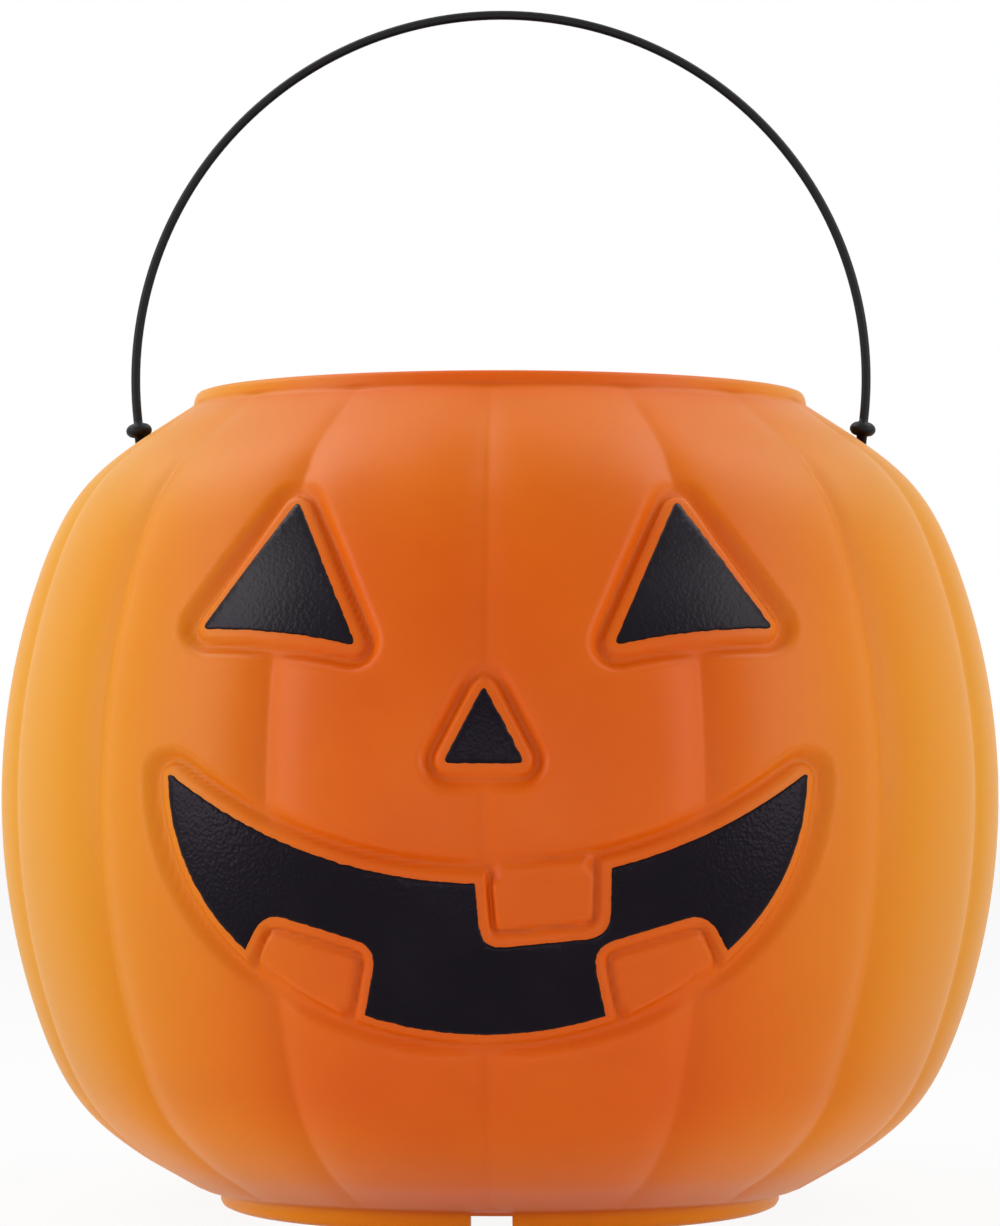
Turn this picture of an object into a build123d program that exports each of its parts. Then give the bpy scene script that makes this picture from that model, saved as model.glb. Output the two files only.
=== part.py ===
"""Pumpkin candy pail: a blow-moulded, lobed shell with a carved face, and a snap-in carry handle.

Millimetres. +Z is up, the face looks along -Y, and the origin is on the ground under the middle of the foot.
"""

import os
from math import cos, pi, radians, sin, tan

from build123d import *

# Shell: a long arc at the side, a tight arc at the shoulder, then straight in to the rim, and likewise to the base
BODY_RADIUS = 108.0  # crest of a lobe at the waist
SIDE_ARC = 146.0
SIDE_TURN = 24.3  # degrees that the side leans in where the shoulder arc begins
SIDE_STEPS = 3
SHOULDER_ARC = 30.0
SHOULDER_TURN = 57.0  # degrees that the straight part leans in
SHOULDER_STEPS = 3
RIM_INSET = 41.4  # from the crest of a lobe at the waist in to the outside of the rim
RIM_HEIGHT = 2.8  # of the ring, above the shoulder
RIM_BEVEL = 0.5
BASE_INSET = 42.2  # and in to the edge of the flat underside
WALL = 1.6

# Lobes
LOBES = 15
GROOVE_DEPTH = 1.4  # at the waist, shallower where the pail is narrower
GROOVE_WIDTH = 12.6  # at the waist

# Foot ring, with a gap at the front and one at the back
FOOT_HEIGHT = 3.6
FOOT_INSET = 5.4  # from the edge of the underside to the outside of the ring
FOOT_WIDTH = 6.6
FOOT_BEVEL = 1.0
FOOT_GAP = 8.6

# Face: painted pads, each inside a moat, seen from the front and measured from the waist
MOAT_DEPTH = 2.6  # below the crests of the lobes
MOAT_WIDTH = 4.0  # from the paint to the outer edge of the moat
PAD_DEPTH = 0.7
PAD_BORDER = 1.4  # bare edge of a pad round its paint
COAT = 0.2  # thickness of the paint
COAT_GAP = 0.05  # between the paint and its pad

EYE_PEAK = (37.4, 59.4)
EYE_OUTER_CORNER = (56.6, 33.9)
EYE_INNER_CORNER = (25.1, 30.3)
EYE_BASE_BOW = 0.9  # rise of the lower edge at its middle
EYE_ROUND = 1.2

NOSE_PEAK = 22.6
NOSE_BASE = 7.4
NOSE_HALF_WIDTH = 8.0
NOSE_ROUND = 1.0

MOUTH_TIP = (63.2, 5.6)
MOUTH_UPPER_MIDDLE = -15.8
MOUTH_LOWER_MIDDLE = -45.3
MOUTH_CHEEK = (58.6, -14.6)  # on the outer edge, half way round the corner
MOUTH_JAW = (42.0, -33.2)  # where the outer edge meets the lower edge
MOUTH_ROUND = 1.0

UPPER_TOOTH = ((-2.4, -8.0), (-0.6, -28.6), (24.4, -26.2), (24.9, -6.0))
LOWER_TOOTH = ((50.5, -35.6), (43.4, -21.6), (20.8, -28.2), (24.8, -48.8))
TOOTH_ROUND = 2.4
TOOTH_BORDER = 2.6  # from the paint to the raised part of a tooth

# Handle
HOLE_SETBACK = 11.8  # from the outside of the rim to the handle hole
STRAP_DIAMETER = 2.2
STRAP_SIDES = 8
STEM_DIAMETER = 2.3
STEM_GAP = 0.3  # on each side of the stem in its hole
HOLE_LENGTH = 5.2  # from front to back, so that the stem can lean
PLUG_LEAN = 6.5  # degrees that each plug leans outwards
STRAP_STUB = 0.6  # straight length of the strap above its collar
COLLAR_LIFT = 4.7  # from the middle of the wall to the widest part of the collar
COLLAR_RADIUS = 2.9
COLLAR_HALF_THICKNESS = 1.6
COLLAR_EDGE = 0.6
BARB_DROP = 4.2  # from the middle of the wall to the back of the barb
BARB_OVERHANG = 0.6  # of the barb, past each end of the hole
BARB_LENGTH = 4.5
BARB_SLOPE = 0.8  # height of the cone behind the barb's widest part
BARB_NOSE = 0.8


def half_meridian(end_radius, depth=0.0):
    """Radius and height above the waist of each step from the waist to the end of the straight part."""
    side_turn = radians(SIDE_TURN)
    shoulder_turn = radians(SHOULDER_TURN)
    side_run = BODY_RADIUS - SIDE_ARC
    shoulder_run = side_run + (SIDE_ARC - SHOULDER_ARC) * cos(side_turn)
    shoulder_lift = (SIDE_ARC - SHOULDER_ARC) * sin(side_turn)
    points = []
    for step in range(SIDE_STEPS):
        turn = side_turn * step / SIDE_STEPS
        points.append((side_run + (SIDE_ARC - depth) * cos(turn), (SIDE_ARC - depth) * sin(turn)))
    for step in range(SHOULDER_STEPS + 1):
        turn = side_turn + (shoulder_turn - side_turn) * step / SHOULDER_STEPS
        reach = SHOULDER_ARC - depth
        points.append((shoulder_run + reach * cos(turn), shoulder_lift + reach * sin(turn)))
    end = end_radius - depth * cos(shoulder_turn)
    points.append((end, points[-1][1] + (points[-1][0] - end) / tan(shoulder_turn)))
    return points


def shoulder_rise(radius):
    """Height above the waist of the straight part at this radius."""
    return half_meridian(radius)[-1][1]


RIM_RADIUS = BODY_RADIUS - RIM_INSET
BASE_RADIUS = BODY_RADIUS - BASE_INSET
WAIST_HEIGHT = FOOT_HEIGHT + shoulder_rise(BASE_RADIUS)
NECK_HEIGHT = WAIST_HEIGHT + shoulder_rise(RIM_RADIUS)
RIM_TOP = NECK_HEIGHT + RIM_HEIGHT
FOOT_RADIUS = BASE_RADIUS - FOOT_INSET
FACE_REACH = BODY_RADIUS + MOAT_WIDTH

# Corners of one lobe: how far across it each one is, and what share of the groove's depth it is sunk
GROOVE_EDGE = GROOVE_WIDTH / 2 * LOBES / (2 * pi * BODY_RADIUS)
OUTER_LOBE = ((0, 1), (GROOVE_EDGE, 0), (0.5, 0), (1 - GROOVE_EDGE, 0))
INNER_LOBE = ((0, 1), (0.5, 0))

BARB_RADIUS = HOLE_LENGTH / 2 + BARB_OVERHANG
PIVOT_REACH = RIM_RADIUS + HOLE_SETBACK
PIVOT_HEIGHT = WAIST_HEIGHT + shoulder_rise(PIVOT_REACH) - WALL
PLUG_RUN = COLLAR_LIFT + COLLAR_HALF_THICKNESS + STRAP_STUB
LEAN = radians(PLUG_LEAN)
HANDLE_RADIUS = (PIVOT_REACH + PLUG_RUN * sin(LEAN)) / cos(LEAN)
HANDLE_CENTRE = PIVOT_HEIGHT + PLUG_RUN * cos(LEAN) + HANDLE_RADIUS * sin(LEAN)


def meridian(depth):
    """Radius and height of each step from the base to the rim, this deep below the crests of the lobes."""
    lower = [(radius, WAIST_HEIGHT - rise) for radius, rise in half_meridian(BASE_RADIUS, depth)]
    upper = [(radius, WAIST_HEIGHT + rise) for radius, rise in half_meridian(RIM_RADIUS, depth)]
    return lower[:0:-1] + upper


def lobed_ring(radius, height, depth, lobe):
    """Corners of one ring of the lobed body, from the groove at the front round to it again."""
    groove_depth = GROOVE_DEPTH * radius / (BODY_RADIUS - depth)
    corners = []
    for number in range(LOBES):
        for across, sunk in lobe:
            reach = radius - groove_depth * sunk
            turn = 2 * pi * (number + across) / LOBES
            corners.append((reach * sin(turn), -reach * cos(turn), height))
    return corners


def lobed_form(depth, lobe):
    """The lobed body this deep below its surface, as a solid of flat facets between rings of one shape."""
    rings = [lobed_ring(radius, height, depth, lobe) for radius, height in meridian(depth)]
    outlines = [rings[0], rings[-1]]
    for low, high in zip(rings, rings[1:]):
        for here in range(len(low)):
            outlines.append((low[here - 1], low[here], high[here], high[here - 1]))
    return Solid(Shell([Face(Wire.make_polygon(outline)) for outline in outlines]))


def round_form(depth):
    """The body without its lobes, this deep below their crests, as a solid."""
    points = meridian(depth)
    with BuildPart() as form:
        with BuildSketch(Plane.XZ):
            with BuildLine():
                Polyline(*points, (0, points[-1][1]), (0, points[0][1]), close=True)
            make_face()
        revolve(axis=Axis.Z)
    return form.part


def face_block(outline, grow=0.0):
    """The outline, grown by an even border, driven straight into the front of the pail."""
    with BuildPart() as block:
        with BuildSketch(Plane.XZ):
            with Locations((0, WAIST_HEIGHT)):
                add(outline)
            if grow:
                offset(amount=grow, kind=Kind.ARC)
        extrude(amount=FACE_REACH)
    return block.part


def eye_outline(side):
    """Three-cornered eye with a bowed lower edge. Side is -1 on the left of the face and 1 on the right."""
    peak, outer, inner = ((side * x, z) for x, z in (EYE_PEAK, EYE_OUTER_CORNER, EYE_INNER_CORNER))
    middle = ((outer[0] + inner[0]) / 2, (outer[1] + inner[1]) / 2 + EYE_BASE_BOW)
    with BuildSketch() as eye:
        with BuildLine():
            Polyline(outer, peak, inner)
            ThreePointArc(inner, middle, outer)
        make_face()
        fillet(eye.vertices(), EYE_ROUND)
    return eye.sketch


def nose_outline():
    with BuildSketch() as nose:
        with BuildLine():
            Polyline((-NOSE_HALF_WIDTH, NOSE_BASE), (0, NOSE_PEAK), (NOSE_HALF_WIDTH, NOSE_BASE), close=True)
        make_face()
        fillet(nose.vertices(), NOSE_ROUND)
    return nose.sketch


def tooth_outline(corners, side=1):
    with BuildSketch() as tooth:
        with BuildLine():
            Polyline(*((side * x, z) for x, z in corners), close=True)
        make_face()
        fillet(tooth.vertices(), TOOTH_ROUND)
    return tooth.sketch


def mouth_outline(teeth):
    """Grin between two long arcs, less the teeth."""
    tip, cheek, jaw = MOUTH_TIP, MOUTH_CHEEK, MOUTH_JAW
    with BuildSketch() as mouth:
        with BuildLine():
            ThreePointArc((-tip[0], tip[1]), (0, MOUTH_UPPER_MIDDLE), tip)
            ThreePointArc(tip, cheek, jaw)
            ThreePointArc(jaw, (0, MOUTH_LOWER_MIDDLE), (-jaw[0], jaw[1]))
            ThreePointArc((-jaw[0], jaw[1]), (-cheek[0], cheek[1]), (-tip[0], tip[1]))
        make_face()
        fillet(mouth.vertices().group_by(Axis.Y)[-1], MOUTH_ROUND)
        for tooth in teeth:
            add(tooth, mode=Mode.SUBTRACT)
    return mouth.sketch


teeth = [tooth_outline(UPPER_TOOTH), tooth_outline(LOWER_TOOTH, -1), tooth_outline(LOWER_TOOTH)]
painted = {
    "left_eye": eye_outline(-1),
    "right_eye": eye_outline(1),
    "nose": nose_outline(),
    "mouth": mouth_outline(teeth),
}


def moat_block(outline, depth):
    """What is cut away for the moat round an outline, this deep below the surface."""
    return face_block(outline, MOAT_WIDTH + depth) - round_form(MOAT_DEPTH + depth)


def plug_plane(side):
    """Plane through one plug, with its Y axis along the plug and its origin in the middle of the hole."""
    return Plane(
        origin=(side * PIVOT_REACH, 0, PIVOT_HEIGHT),
        x_dir=(side * cos(LEAN), 0, -sin(LEAN)),
        z_dir=(0, -side, 0),
    )


os.makedirs("parts", exist_ok=True)

pads = [face_block(outline, PAD_BORDER) for outline in painted.values()]
pads += [face_block(outline, -TOOTH_BORDER) for outline in teeth]
pad_top = round_form(PAD_DEPTH)
paint_base = round_form(PAD_DEPTH - COAT_GAP)
paint_top = round_form(PAD_DEPTH - COAT_GAP - COAT)

# Inside of the shell, which keeps clear of the moats
with BuildPart() as cavity:
    add(lobed_form(WALL, INNER_LOBE))
    for outline in painted.values():
        add(moat_block(outline, WALL), mode=Mode.SUBTRACT)

# One-piece shell with its rim ring, foot ring and handle holes
with BuildPart() as pail_shell:
    add(lobed_form(0, OUTER_LOBE))
    for outline in painted.values():
        add(moat_block(outline, 0), mode=Mode.SUBTRACT)
    for pad in pads:
        add(pad & pad_top)
    with BuildSketch(Plane.XZ) as rim_section:
        with Locations((RIM_RADIUS - WALL, RIM_TOP)):
            Rectangle(WALL, 2 * RIM_HEIGHT, align=(Align.MIN, Align.MAX))
        chamfer(rim_section.vertices().group_by(Axis.Y)[-1], RIM_BEVEL)
    revolve(axis=Axis.Z)
    with BuildSketch(Plane.XZ) as foot_section:
        with Locations((FOOT_RADIUS, 0)):
            Rectangle(FOOT_WIDTH, FOOT_HEIGHT, align=(Align.MAX, Align.MIN))
        chamfer(foot_section.vertices().group_by(Axis.Y)[0], FOOT_BEVEL)
    revolve(axis=Axis.Z)
    Box(
        FOOT_GAP,
        2 * BODY_RADIUS,
        FOOT_HEIGHT,
        align=(Align.CENTER, Align.CENTER, Align.MIN),
        mode=Mode.SUBTRACT,
    )
    add(cavity.part, mode=Mode.SUBTRACT)
    with Locations((0, 0, WAIST_HEIGHT)):
        Cylinder(
            RIM_RADIUS - WALL,
            RIM_TOP,
            align=(Align.CENTER, Align.CENTER, Align.MIN),
            mode=Mode.SUBTRACT,
        )
    for side in (-1, 1):
        hole_plane = plug_plane(side)
        with BuildSketch(Plane(hole_plane.origin, x_dir=(0, 1, 0), z_dir=hole_plane.y_dir)):
            SlotOverall(HOLE_LENGTH, STEM_DIAMETER + 2 * STEM_GAP)
        extrude(amount=2 * COLLAR_LIFT, both=True, mode=Mode.SUBTRACT)
pail_shell.part.label = "pail_shell"
export_step(pail_shell.part, "parts/pail_shell.step")

# Paint on the pads
for name, outline in painted.items():
    block = face_block(outline)
    with BuildPart() as paint:
        add(block)
        add(paint_top, mode=Mode.INTERSECT)
        add(paint_base, mode=Mode.SUBTRACT)
    paint.part.label = f"{name}_paint"
    export_step(paint.part, f"parts/{name}_paint.step")

# Handle: one strap with a collar, a stem and a barbed tip at each end
with BuildPart() as carry_handle:
    start = plug_plane(1)
    with BuildSketch(Plane(start.origin + start.y_dir * PLUG_RUN, x_dir=(0, 1, 0), z_dir=start.y_dir)):
        RegularPolygon(STRAP_DIAMETER / 2, STRAP_SIDES, rotation=180 / STRAP_SIDES)
    strap_axis = Axis((0, 0, HANDLE_CENTRE), (0, -1, 0))
    revolve(axis=strap_axis, revolution_arc=180 + 2 * PLUG_LEAN)
    for side in (-1, 1):
        plane = plug_plane(side)
        stem = STEM_DIAMETER / 2
        tip = -BARB_DROP - BARB_SLOPE - BARB_LENGTH
        with BuildSketch(plane):
            with BuildLine():
                Polyline(
                    (0, tip),
                    (BARB_NOSE, tip),
                    (BARB_RADIUS, -BARB_DROP - BARB_SLOPE),
                    (stem, -BARB_DROP),
                    (stem, COLLAR_LIFT - COLLAR_HALF_THICKNESS),
                    (COLLAR_RADIUS, COLLAR_LIFT - COLLAR_EDGE / 2),
                    (COLLAR_RADIUS, COLLAR_LIFT + COLLAR_EDGE / 2),
                    (STRAP_DIAMETER / 2, COLLAR_LIFT + COLLAR_HALF_THICKNESS),
                    (STRAP_DIAMETER / 2, PLUG_RUN),
                    (0, PLUG_RUN),
                    close=True,
                )
            make_face()
        revolve(axis=Axis(plane.origin, plane.y_dir))
carry_handle.part.label = "carry_handle"
export_step(carry_handle.part, "parts/carry_handle.step")
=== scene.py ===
"""Pumpkin candy pail in a white studio: a lobed orange shell, a painted face and a thin black handle."""

from math import atan2, cos, hypot, pi, radians, sin, tan

import bmesh
import bpy
import numpy as np
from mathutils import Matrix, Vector, noise
from mathutils.bvhtree import BVHTree
from mathutils.geometry import delaunay_2d_cdt


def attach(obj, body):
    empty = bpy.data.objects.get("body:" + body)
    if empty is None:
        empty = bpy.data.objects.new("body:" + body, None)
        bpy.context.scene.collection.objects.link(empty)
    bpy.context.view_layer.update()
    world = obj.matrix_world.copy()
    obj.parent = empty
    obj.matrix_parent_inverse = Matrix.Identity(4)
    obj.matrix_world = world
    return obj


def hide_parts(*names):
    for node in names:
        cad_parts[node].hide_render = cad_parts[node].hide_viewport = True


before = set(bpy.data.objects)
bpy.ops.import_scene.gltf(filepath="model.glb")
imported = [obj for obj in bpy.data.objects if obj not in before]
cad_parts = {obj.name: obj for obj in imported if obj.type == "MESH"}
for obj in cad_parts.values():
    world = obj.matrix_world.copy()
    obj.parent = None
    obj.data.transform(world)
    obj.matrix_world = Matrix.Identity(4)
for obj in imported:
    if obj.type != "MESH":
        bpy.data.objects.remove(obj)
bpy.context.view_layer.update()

MM = 0.001

# Shell, in millimetres: the part's own sizes, but with softer turns and deeper, rounder grooves
BODY_RADIUS = 107.9
SIDE_ARC = 146.0
SIDE_TURN = radians(24.3)
SHOULDER_ARC = 30.0
SHOULDER_TURN = radians(57.0)
EASING = 7.5  # length over which one arc of the wall runs into the next
RIM_RADIUS = 66.6
RIM_HEIGHT = 2.8
BASE_RADIUS = 65.8
WALL = 1.6
LOBES = 15
GROOVE_DEPTH = 2.2
GROOVE_SHARPNESS = 4.2  # how quickly a groove's flanks level out
GROOVE_SOFTNESS = 0.035  # of the bottom, as a share of half a lobe
NECK_FADE = (0.75, 7.0)  # share of a groove that is lost at the neck, and the height over which it goes
FOOT_FADE = (0.5, 5.0)  # the same just above the foot
FOOT_HEIGHT = 3.6
FOOT_RADIUS = 60.4
FOOT_WIDTH = 6.6
FOOT_GAP = 8.6
FOOT_MARGIN = 0.2  # what lies this far outside the foot ring belongs to the edge of the underside
GAP_SIDE = 0.02  # half the slant of the sides of the gaps
EDGE_LIFT = (0.9, 1.9)  # how far the edge of the underside is drawn up, at the sides and at front and back

# Face, seen from the front and measured from the waist
MOAT_DEPTH = 2.6
PAD_DEPTH = 0.7
COAT_TOP = 0.45  # depth of the top of the paint
COAT_RIM = PAD_DEPTH - 0.03  # depth of its edge
COAT_UNDERSIDE = PAD_DEPTH + 0.2
COAT_EDGE = 0.4  # width of the rounded edge of the paint
WAVERS = ((0.7, 0.0, 0.14), (2.3, 5.0, 0.07))  # of the paint's edge: how close, which layer, how wide
MOAT_OUTER = (5.8, 3.0)  # from the paint: where the moat's outer wall begins and ends
PAD_BEVEL = (2.9, 1.5)
TOOTH_BEVEL = (2.6, 3.8)  # inside a tooth's outline
TOOTH_FADE = 3.0  # width over which a tooth runs out at the edge of the grin
TOOTH_SHARE = 0.6  # of that which lies outside the grin
EYE_CORNERS = ((56.6, 33.9), (37.4, 59.4), (25.1, 30.3))
EYE_BASE_BOW = 0.9
NOSE_CORNERS = ((-8.0, 7.4), (0.0, 22.6), (8.0, 7.4))
MOUTH_TIP = (63.2, 5.6)
MOUTH_CHEEK = (58.6, -14.6)
MOUTH_JAW = (42.0, -33.2)
MOUTH_UPPER = -15.8
MOUTH_LOWER = -45.3
UPPER_TOOTH = ((-2.4, -8.0), (-0.6, -28.6), (24.4, -26.2), (24.9, -6.0))
LOWER_TOOTH = ((50.5, -35.6), (43.4, -21.6), (20.8, -28.2), (24.8, -48.8))
CORNER_ROUND = 1.6
TOOTH_ROUND = 4.6
BLUNT_CORNER = radians(155)  # a corner as open as this needs no rounding
CARVED_BAND = (-56.0, 68.0)  # heights that the face's relief lies between
CARVED_RADIUS = 80.0  # and where the shell is at least this wide
CARVED_TURN = 0.95  # and up to this angle from the front

# Handle
HOLE_SETBACK = 11.8
STRAP_DIAMETER = 2.0
STEM_DIAMETER = 2.3
HOLE_LENGTH = 5.2
HOLE_WIDTH = 2.9
HOLE_PATCH = 7.0  # reach of the finer mesh round a hole
HOLE_START = 15.0  # height above a hole from which its mesh is dropped onto the wall
PLUG_LEAN = radians(6.5)
STRAP_STUB = 0.6
CROWN_DROP = 0.12  # how much lower the strap's crown is than that of a round arch
COLLAR_LIFT = 4.7
COLLAR_RADIUS = 2.9
COLLAR_HALF_THICKNESS = 1.6
BARB_DROP = 4.2
BARB_RADIUS = 3.2
BARB_LENGTH = 4.5
BARB_SLOPE = 0.8
BARB_NOSE = 0.8

# Mesh density
ARC_POINTS = (300, 150, 100)  # along the side, the shoulder and the straight part, before easing
WALL_POINTS = 1000  # along the whole wall
OUTSIDE_COLUMNS = 400
INSIDE_COLUMNS = 200
FRONT_CROWDING = 0.34  # spacing of the columns at the front, as a share of the even one
INSIDE_CROWDING = 0.6
GROOVE_CROWDING = 0.45  # how much the columns gather at the grooves
FACE_ROW = 0.9
PLAIN_ROW = 2.4
INSIDE_ROW = PLAIN_ROW * 0.8
FACE_BAND = (-53.0, 67.0)  # heights from the waist between which the rows are close
SEAM = 0.02  # points of the seam and the poles that are this near become one
FOOT_SEAM = 0.005  # the same for the foot ring
PLUG_SEAM = 0.002  # and for the ends of the plugs
RIM_REACH = 0.5  # edges this far below the top of the rim belong to it
COLUMN_TURN = 1e-3  # points within this angle stand in the same column
PATCH_STEP = 1.1  # between points of the mesh round a hole
PATCH_MARGIN = 2.5  # from those points to the edge of the patch
SLOT_MARGIN = 0.6  # and to the slot
COAT_EDGE_STEP = 0.6  # between points along the edge of the paint
COAT_STEP = 1.4  # and inside it
COAT_CLEARANCE = (0.6, 1.3)  # of the crown and of the points inside it from the edge, in widths of the edge
SNAP = 1e-5  # points this near become one where a flat patch is meshed
STRAP_POINTS = 121
STRAP_SIDES = 20
PLUG_SIDES = 32
COLLAR_POINTS = 13


# Node maths: a socket that takes part in Python expressions

class Value:
    """A node socket. Arithmetic on it adds Math nodes to its tree."""

    def __init__(self, graph, socket):
        self.graph = graph
        self.socket = socket

    def maths(self, operation, *values):
        return self.graph.add("ShaderNodeMath", {"operation": operation}, dict(enumerate(values)))

    def __add__(self, other):
        return self.maths("ADD", self, other)

    __radd__ = __add__

    def __sub__(self, other):
        return self.maths("SUBTRACT", self, other)

    def __rsub__(self, other):
        return self.maths("SUBTRACT", other, self)

    def __mul__(self, other):
        return self.maths("MULTIPLY", self, other)

    __rmul__ = __mul__

    def __truediv__(self, other):
        return self.maths("DIVIDE", self, other)

    def __rtruediv__(self, other):
        return self.maths("DIVIDE", other, self)

    def __pow__(self, other):
        return self.maths("POWER", self, other)

    def sine(self):
        return self.maths("SINE", self)

    def cosine(self):
        return self.maths("COSINE", self)

    def size(self):
        return self.maths("ABSOLUTE", self)

    def between(self, low, high):
        """0 below low, 1 above high, and smooth between them."""
        ends = {"Value": self, "From Min": low, "From Max": high}
        return self.graph.add("ShaderNodeMapRange", {"interpolation_type": "SMOOTHSTEP"}, ends)


class Graph:
    """A node tree that is filled by expressions."""

    def __init__(self, tree):
        self.tree = tree

    def add(self, kind, settings=None, inputs=None, output=0):
        """Adds one node: its settings first, then the values or links of its sockets."""
        node = self.tree.nodes.new(kind)
        for name, value in (settings or {}).items():
            setattr(node, name, value)
        for name, value in (inputs or {}).items():
            if isinstance(value, Value):
                self.tree.links.new(value.socket, node.inputs[name])
            else:
                node.inputs[name].default_value = value
        return Value(self, node.outputs[output])

    def mix_colours(self, share, first, second):
        """Mix of two colours, whose sockets on the Mix node have the same names as those for numbers."""
        colours = {"Factor": share, 6: first, 7: second}
        return self.add("ShaderNodeMix", {"data_type": "RGBA"}, colours, output=2)


# Shape of the shell

def half_wall(end_radius):
    """Radius and height above the waist of close points from the waist to the end of the straight part."""
    side_points, shoulder_points, straight_points = ARC_POINTS
    side = np.linspace(0, SIDE_TURN, side_points)
    shoulder = np.linspace(SIDE_TURN, SHOULDER_TURN, shoulder_points)[1:]
    side_run = BODY_RADIUS - SIDE_ARC
    arc_change = SIDE_ARC - SHOULDER_ARC
    radius = np.concatenate([
        side_run + SIDE_ARC * np.cos(side),
        side_run + arc_change * cos(SIDE_TURN) + SHOULDER_ARC * np.cos(shoulder),
    ])
    rise = np.concatenate([
        SIDE_ARC * np.sin(side),
        arc_change * sin(SIDE_TURN) + SHOULDER_ARC * np.sin(shoulder),
    ])
    straight = np.linspace(radius[-1], end_radius, straight_points)[1:]
    rise = np.concatenate([rise, rise[-1] + (radius[-1] - straight) / tan(SHOULDER_TURN)])
    return np.concatenate([radius, straight]), rise


def eased(values, step):
    """The even row of values with its changes of direction spread out and its ends kept."""
    reach = int(4 * EASING / step)
    weights = np.exp(-0.5 * (np.arange(-reach, reach + 1) * step / EASING) ** 2)
    before = values[0] - (values[1] - values[0]) * np.arange(reach, 0, -1)
    after = values[-1] + (values[-1] - values[-2]) * np.arange(1, reach + 1)
    return np.convolve(np.concatenate([before, values, after]), weights / weights.sum(), "valid")


def wall(depth):
    """Radius, height and lean of the wall from base to neck, this deep below the crests of the lobes."""
    low_radius, low_rise = half_wall(BASE_RADIUS)
    high_radius, high_rise = half_wall(RIM_RADIUS)
    radius = np.concatenate([low_radius[:0:-1], high_radius])
    height = WAIST_HEIGHT + np.concatenate([-low_rise[:0:-1], high_rise])
    run = np.concatenate([[0.0], np.cumsum(np.hypot(np.diff(radius), np.diff(height)))])
    places = np.linspace(0.0, run[-1], WALL_POINTS)
    radius, height = (eased(np.interp(places, run, values), places[1]) for values in (radius, height))
    lean = np.arctan2(-np.gradient(radius), np.gradient(height))
    return radius - depth * np.cos(lean), height - depth * np.sin(lean), lean


def shoulder_rise(radius):
    """Height above the waist of the straight part at this radius."""
    return half_wall(radius)[1][-1]


WAIST_HEIGHT = FOOT_HEIGHT + shoulder_rise(BASE_RADIUS)
NECK_HEIGHT = WAIST_HEIGHT + shoulder_rise(RIM_RADIUS)
RIM_TOP = NECK_HEIGHT + RIM_HEIGHT

PIVOT_REACH = RIM_RADIUS + HOLE_SETBACK
PIVOT_HEIGHT = WAIST_HEIGHT + shoulder_rise(PIVOT_REACH) - WALL
PLUG_RUN = COLLAR_LIFT + COLLAR_HALF_THICKNESS + STRAP_STUB
HANDLE_RADIUS = (PIVOT_REACH + PLUG_RUN * sin(PLUG_LEAN)) / cos(PLUG_LEAN)
HANDLE_CENTRE = PIVOT_HEIGHT + PLUG_RUN * cos(PLUG_LEAN) + HANDLE_RADIUS * sin(PLUG_LEAN)


def smooth(share):
    """0 up to 0, 1 from 1, and a soft rise between them."""
    share = np.clip(share, 0.0, 1.0)
    return share * share * (3.0 - 2.0 * share)


def wall_rows(depth, face_row):
    """Rows of the wall, closer where the face is: radius, height, lean and share of the groove's depth."""
    radius, height, lean = wall(depth)
    steps = np.hypot(np.diff(radius), np.diff(height))
    middle = (height[1:] + height[:-1]) / 2
    in_face = (middle > WAIST_HEIGHT + FACE_BAND[0]) & (middle < WAIST_HEIGHT + FACE_BAND[1])
    count = np.concatenate([[0.0], np.cumsum(steps / np.where(in_face, face_row, PLAIN_ROW))])
    rows = np.linspace(0, count[-1], int(count[-1]) + 1)
    groove = 1.0 - NECK_FADE[0] * smooth((height - NECK_HEIGHT + NECK_FADE[1]) / NECK_FADE[1])
    groove -= FOOT_FADE[0] * smooth((FOOT_HEIGHT + FOOT_FADE[1] - height) / FOOT_FADE[1])
    return [np.interp(rows, count, values) for values in (radius, height, lean, groove)]


def plain_rows(points):
    """Rows without lobes, from radius and height."""
    radius, height = np.array(points).T
    return [radius, height, np.zeros(radius.size), np.zeros(radius.size)]


def outside_rows():
    """Rows of the outer skin: the underside with its foot ring, the wall, and the rim ring."""
    inner = FOOT_RADIUS - FOOT_WIDTH
    under = plain_rows([
        (0.0, FOOT_HEIGHT), (18.0, FOOT_HEIGHT), (36.0, FOOT_HEIGHT), (inner - 0.7, FOOT_HEIGHT),
        (inner, FOOT_HEIGHT - 0.5), (inner, 1.5), (inner + 0.35, 0.5), (inner + 1.4, 0.0),
        (FOOT_RADIUS - 1.5, 0.0), (FOOT_RADIUS - 0.45, 0.45), (FOOT_RADIUS, 1.3),
        (FOOT_RADIUS, FOOT_HEIGHT - 1.6), (FOOT_RADIUS + 0.5, FOOT_HEIGHT - 1.2),
        (BASE_RADIUS - 3.0, FOOT_HEIGHT - 0.8), (BASE_RADIUS - 1.2, FOOT_HEIGHT - 0.4),
    ])
    ring = plain_rows([
        (RIM_RADIUS, NECK_HEIGHT + 0.3), (RIM_RADIUS - 0.05, NECK_HEIGHT + 0.8),
        (RIM_RADIUS - 0.25, RIM_TOP - 1.1), (RIM_RADIUS - 0.55, RIM_TOP - 0.45),
        (RIM_RADIUS - 0.9, RIM_TOP - 0.1), (RIM_RADIUS - WALL * 0.75, RIM_TOP),
    ])
    return [np.concatenate(parts) for parts in zip(under, wall_rows(0.0, FACE_ROW), ring)]


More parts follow.
